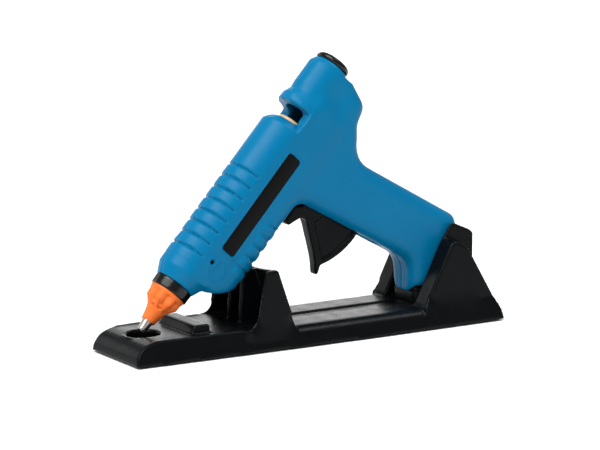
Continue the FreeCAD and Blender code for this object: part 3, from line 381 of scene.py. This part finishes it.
def band(values, low, high, edge):
    """1 between low and high, fading out over edge on both sides."""
    return step_up(values, low - edge, low) * (1.0 - step_up(values, high, high + edge))


# ---------------------------------------------------------------- housing, sizes in mm

RIB_START, RIB_STEP, RIB_COUNT = 54.0, 8.0, 8
KEEL_START, KEEL_STEP, KEEL_COUNT = 64.0, 7.6, 5
BAIL_ALONG, BAIL_UP = 55.2, -3.4
BADGE_ALONG, BADGE_UP = (64.8, 133.8), (-12.3, -2.7)


def screw_distance(points):
    """Side-view distance from each point to the nearest point of a housing screw."""
    screws = NODES["housing_screws"].data.vertices
    tree = kdtree.KDTree(len(screws))
    for index, vertex in enumerate(screws):
        local = (np.array(vertex.co) - np.array(TIP)) @ GUN_AXES.T * 1000.0
        tree.insert((local[0], 0.0, local[2]), index)
    tree.balance()
    return np.array([tree.find((p[0], 0.0, p[2]))[2] for p in points])


def grip_ribs(along, side, up):
    """Raised pads between the grooves across the barrel's top."""
    end = RIB_START + RIB_STEP * (RIB_COUNT - 1)
    inside = band(along, RIB_START - RIB_STEP * 0.8, end, 1.2)
    phase = ((along - RIB_START) / RIB_STEP) % 1.0
    pad = np.sin(np.pi * phase) ** 0.5 * 0.16
    groove = np.minimum(phase, 1.0 - phase) * RIB_STEP
    line = np.exp(-(groove / 0.50) ** 2) * 0.75
    reach = step_up(up, 3.0, 4.2)
    outer = step_up(np.hypot(side, up), 13.6, 14.2)
    return (pad - line) * inside * reach * outer


def keel_ribs(along, side, up):
    """Scallops along the barrel's rounded lower corners."""
    end = KEEL_START + KEEL_STEP * (KEEL_COUNT - 1)
    inside = band(along, KEEL_START - KEEL_STEP * 0.7, end + KEEL_STEP * 0.2, 1.0)
    phase = ((along - KEEL_START) / KEEL_STEP) % 1.0
    gap = np.minimum(phase, 1.0 - phase) * KEEL_STEP
    pad = np.sin(np.pi * phase) ** 0.6 * 0.75 - np.exp(-(gap / 0.7) ** 2) * 0.55
    corner = band(up, -27.5, -18.0, 1.0) * step_up(np.abs(side), 6.5, 9.0)
    outer = step_up(np.hypot(np.abs(side) - 6.3, up + 20.2), 7.9, 8.4)
    return pad * inside * corner * outer


def bail_marks(along, side, up):
    """Raised ring round the bail hole and the thin arc below it."""
    reach = np.hypot(along - BAIL_ALONG, up - BAIL_UP)
    ring = np.exp(-((reach - 2.8) / 0.60) ** 2) * 0.60
    arc_reach = np.hypot(along - BAIL_ALONG + 2.5, up - BAIL_UP + 4.8)
    arc = np.exp(-((arc_reach - 5.6) / 0.50) ** 2) * 0.45
    lower = step_up(reach, 3.4, 4.4)
    return (ring + arc * lower) * step_up(np.abs(side), 14.2, 15.0)


def badge_rim(along, side, up):
    """Low raised border round the side plate."""
    front, back = BADGE_ALONG
    low, high = BADGE_UP
    outside = np.maximum(np.maximum(front - along, along - back),
                         np.maximum(low - up, up - high))
    rim = np.exp(-((outside - 0.8) / 0.45) ** 2) * 0.5
    return rim * step_up(np.abs(side), 14.6, 15.2)


def window_lip(along, side, up):
    """Raised lip round the stick window's lower edge, with rounded corners."""
    corner = 3.0
    beside = np.maximum(np.maximum(149.0 + corner - along, along - 158.5 + corner), 0.0)
    below = np.maximum(1.2 + corner - up, 0.0)
    outside = np.hypot(beside, below) - corner
    lip = np.exp(-((outside - 1.5) / 0.7) ** 2) * 0.4
    return lip * step_up(np.abs(side), 10.0, 12.5) * band(up, -6.0, 9.0, 2.0)


def blend_weight(points):
    """Where the barrel, the handle and the rear tube flow into each other."""
    along, side, up = points.T
    back = step_up(along, 106.0, 118.0) * (1.0 - step_up(along, 187.0, 190.0))
    below = step_up(-up, 4.0, 9.0)
    sides = step_up(np.abs(side), 5.5, 9.5)
    badge = band(along, 60.0, 135.0, 2.0) * band(up, -14.0, -1.5, 1.5)
    window = band(along, 146.0, 161.5, 1.5) * step_up(up, -3.0, 0.5)
    screws = step_up(screw_distance(points), 3.0, 6.0)
    rear = band(along, 161.0, 188.0, 3.0)
    chin = band(along, 37.5, 53.0, 1.5) * step_up(-up, 8.5, 11.5)
    joined = np.maximum(np.maximum(back * below, rear), chin)
    return joined * sides * (1 - badge) * (1 - window) * screws


def even_clay(node, voxel_mm):
    """Dense even copy of a node, ready to be shaped."""
    obj = welded(node, "fine_" + node, 1000.0)
    even = obj.modifiers.new("even", "REMESH")
    even.mode = "VOXEL"
    even.voxel_size = voxel_mm
    settle(obj)
    return Clay(obj)


def finish_clay(clay, node):
    """The shaped copy takes the node's place."""
    clay.store()
    clay.obj.data.transform(Matrix.Scale(MM, 4))
    smooth_by_angle(clay.obj, 60.0)
    take_over(clay.obj, node)


def housing_piece(node):
    """Even dense copy of a shell with blended junctions, ribs, marks and lips."""
    clay = even_clay(node, 0.62)
    clay.smooth(np.full(len(clay.points), 0.8), 2)
    clay.smooth(blend_weight(clay.points), 90)
    along, side, up = clay.points.T
    facing = clay.normals()
    outward = step_up(facing[:, 1] * np.sign(side) * np.abs(side) / 15.0
                      + facing[:, 2] * np.clip(up, -20, 15) / 15.0, 0.15, 0.5)
    detail = (grip_ribs(along, side, up) + keel_ribs(along, side, up)
              + bail_marks(along, side, up) + badge_rim(along, side, up)
              + window_lip(along, side, up))
    clay.push(detail * outward)
    clay.smooth(np.full(len(clay.points), 0.35), 1)
    finish_clay(clay, node)


# ---------------------------------------------------------------- dock and trigger, sizes in mm

def plate_rim(x, y, z):
    """Height of the low rim along the plate's outer edges."""
    half_width = 28.4 + 0.018 * x - 0.0000928 * x * x
    inward = half_width - np.abs(y)
    rim = (1.0 - step_up(inward, 2.2, 3.4)) * 0.65
    return rim * band(x, -110.0, -56.0, 3.0) * step_up(z, 12.2, 13.0)


def dock_piece():
    """Dock with moulded edges, a rim on its plate, and cheeks that flow into the plinth."""
    clay = even_clay("dock_shell", 0.85)
    x, y, z = clay.world().T
    clay.points += plate_rim(x, y, z)[:, None] * GUN_AXES[:, 2]
    clay.smooth(np.full(len(clay.points), 0.8), 3)
    cheeks = band(x, -49.0, -22.0, 2.0) + band(x, 76.0, 106.0, 5.0)
    seam = band(z, 8.5, 18.0, 3.0) * step_up(np.abs(y), 26.6, 27.8)
    clay.smooth(cheeks * seam, 160)
    finish_clay(clay, "dock_shell")


TRIGGER_PIVOT = [c / MM for c in JOINTS["trigger_pull"]["pos_m"]]
TRIGGER_REACH = 47.3
WEB_DEPTH = 1.1
BLADE_FRONT = ((7.8, 36.0), (7.8, 42.0), (5.6, 54.0), (2.0, 68.0))


def trigger_piece():
    """Trigger with a sunk web between its rounded front blade and its outer rim."""
    clay = even_clay("trigger", 0.4)
    clay.smooth(np.full(len(clay.points), 0.8), 4)
    x, y, z = clay.world().T
    reach = np.hypot(x - TRIGGER_PIVOT[0], z - TRIGGER_PIVOT[2])
    fronts, heights = zip(*BLADE_FRONT)
    behind = x - np.interp(z, heights, fronts)
    web = step_up(behind, 4.2, 5.2) * (1.0 - step_up(reach, TRIGGER_REACH - 3.4,
                                                     TRIGGER_REACH - 2.6))
    web *= step_up(reach, 20.0, 22.0) * step_up(np.abs(y), 3.0, 3.6)
    clay.points[:, 1] -= np.sign(y) * web * WEB_DEPTH
    clay.smooth(np.full(len(clay.points), 0.6), 3)
    tip = 1.0 - step_up(z, 38.5, 41.5)
    front = (1.0 - step_up(behind, 2.0, 3.2)) * (1.0 - step_up(z, 66.0, 69.0))
    clay.smooth(np.maximum(tip, front * 0.7), 30)
    finish_clay(clay, "trigger")


# ---------------------------------------------------------------- nozzle sleeve, sizes in mm

SLEEVE_FRONT, SLEEVE_BACK = 7.6, 27.5
SLEEVE_BORE = ((27.5, 7.1), (17.6, 7.1), (16.6, 4.6), (12.4, 4.6), (12.0, 3.75), (7.6, 3.75))


def sleeve_radius(along, angle):
    """Outer radius of the fluted sleeve: eight pads that slope down to a plain neck."""
    profile_at = (7.6, 8.6, 12.6, 15.6, 18.6, 21.0, 24.0, 26.6, 27.5)
    profile_r = (4.1, 4.35, 5.1, 6.0, 7.9, 9.8, 10.3, 10.75, 10.6)
    radius = np.interp(along, profile_at, profile_r)
    lobe = 0.5 + 0.5 * math.cos(8.0 * angle)
    pocket = float(band(np.array(along), 17.0, 24.6, 1.6)) * (1.0 - lobe ** 0.6)
    slope = math.exp(-((along - 21.4) / 2.2) ** 2) * lobe ** 1.4
    return radius - 1.9 * pocket + 0.35 * slope


def sleeve_piece():
    """Closed tube of rings, wide at the collar and snug round the nozzle."""
    around, rings = 160, 70
    angles = [math.tau * j / around for j in range(around)]
    loops = []
    for i in range(rings + 1):
        along = SLEEVE_FRONT + (SLEEVE_BACK - SLEEVE_FRONT) * i / rings
        loops.append((along, [sleeve_radius(along, angle) for angle in angles]))
    for along, radius in SLEEVE_BORE:
        loops.append((along, [radius] * around))
    work = bmesh.new()
    rows = []
    for along, radii in loops:
        rows.append([work.verts.new((along * MM, radius * math.sin(angle) * MM,
                                     radius * math.cos(angle) * MM))
                     for angle, radius in zip(angles, radii)])
    for i, row in enumerate(rows):
        following = rows[(i + 1) % len(rows)]
        for j in range(around):
            k = (j + 1) % around
            work.faces.new((row[j], row[k], following[k], following[j]))
    bmesh.ops.recalc_face_normals(work, faces=work.faces)
    mesh = bpy.data.meshes.new("fluted_sleeve")
    work.to_mesh(mesh)
    work.free()
    mesh.transform(gun_matrix())
    obj = add_object("fluted_sleeve", mesh)
    smooth_by_angle(obj, 50.0)
    take_over(obj, "nozzle_sleeve")


def spring_piece(node):
    """Welded, smooth-shaded copy of a coil spring that takes the node's place."""
    obj = welded(node, node + "_coil")
    smooth_by_angle(obj)
    take_over(obj, node)
    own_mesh(obj)


# ---------------------------------------------------------------- all pieces

# how far the edges of each small piece are rounded, in mm
EDGE_WIDTHS = {"handle_base_cap": 0.5, "nose_collar": 0.3, "rear_cap": 0.35,
               "badge_left": 0.2, "badge_right": 0.2, "stick_guide": 0.3, "nozzle_tip": 0.15,
               "power_inlet": 0.3, "dock_base": 0.4, "dock_feet": 0.3}

for node_name, node in NODES.items():
    dress(node, MATERIALS[SLOT_OF[node_name]])
    smooth_by_angle(node)

for node_name in ("housing_left", "housing_right"):
    housing_piece(node_name)
sleeve_piece()
dock_piece()
trigger_piece()
for node_name, width in EDGE_WIDTHS.items():
    bevelled(node_name, width)
spring_piece("return_springs")
spring_piece("valve_spring")


# ---------------------------------------------------------------- floor, light, camera

def aimed(name, light, place, target):
    """Light that shines from place to target."""
    holder = bpy.data.objects.new(name, light)
    holder.location = place
    aim = Vector(target) - Vector(place)
    holder.rotation_euler = aim.to_track_quat("-Z", "Y").to_euler()
    bpy.context.scene.collection.objects.link(holder)


def studio():
    """White floor under an even soft sun, and four soft boxes for the plastic's sheen."""
    floor_gap = 0.4 * MM
    bpy.ops.mesh.primitive_plane_add(size=24.0, location=(0, 0, cad_box[0][2] - floor_gap))
    floor = bpy.context.object
    floor.name = "studio_floor"
    dress(floor, Finish("studio_white", (0.96, 0.96, 0.96), 0.8, specular=0.1).material)
    world = bpy.data.worlds.new("studio_air")
    bpy.context.scene.world = world
    world.use_nodes = True
    air = world.node_tree.nodes["Background"].inputs
    air["Color"].default_value = (1, 1, 1, 1)
    air["Strength"].default_value = 0.32
    middle = (0.0, 0.0, 0.06)
    sun = bpy.data.lights.new("soft_sun", "SUN")
    sun.energy = 2.9
    sun.angle = math.radians(55.0)
    aimed("soft_sun", sun, (-0.55, -0.30, 1.0), middle)
    for name, place, size, power in (
            ("top_box", (-0.55, -0.15, 1.05), 0.5, 4.0),
            ("edge_box", (0.62, -0.25, 1.0), 0.35, 3.0),
            ("face_box", (-0.62, 1.12, 0.42), 0.6, 1.5),
            ("back_box", (0.55, 1.2, 0.42), 0.8, 4.0)):
        light = bpy.data.lights.new(name, "AREA")
        light.size = size
        light.energy = power
        aimed(name, light, place, middle)


def camera():
    """Long lens from the front left, a little above the gun."""
    heading = math.radians(32.04)
    pitch = math.radians(10.73)
    distance = 1.75366
    target = Vector((-0.00062, 0.0, 0.06556))
    look = Vector((math.sin(heading) * math.cos(pitch), math.cos(heading) * math.cos(pitch),
                   -math.sin(pitch)))
    lens = bpy.data.cameras.new("view")
    lens.sensor_width = 36.0
    lens.lens = 180.0
    lens.clip_start = 0.05
    lens.clip_end = 40.0
    eye = bpy.data.objects.new("view", lens)
    eye.location = target - look * distance
    eye.rotation_euler = look.to_track_quat("-Z", "Y").to_euler()
    bpy.context.scene.collection.objects.link(eye)
    bpy.context.scene.camera = eye
    bpy.context.scene.view_settings.view_transform = "Standard"


studio()
camera()
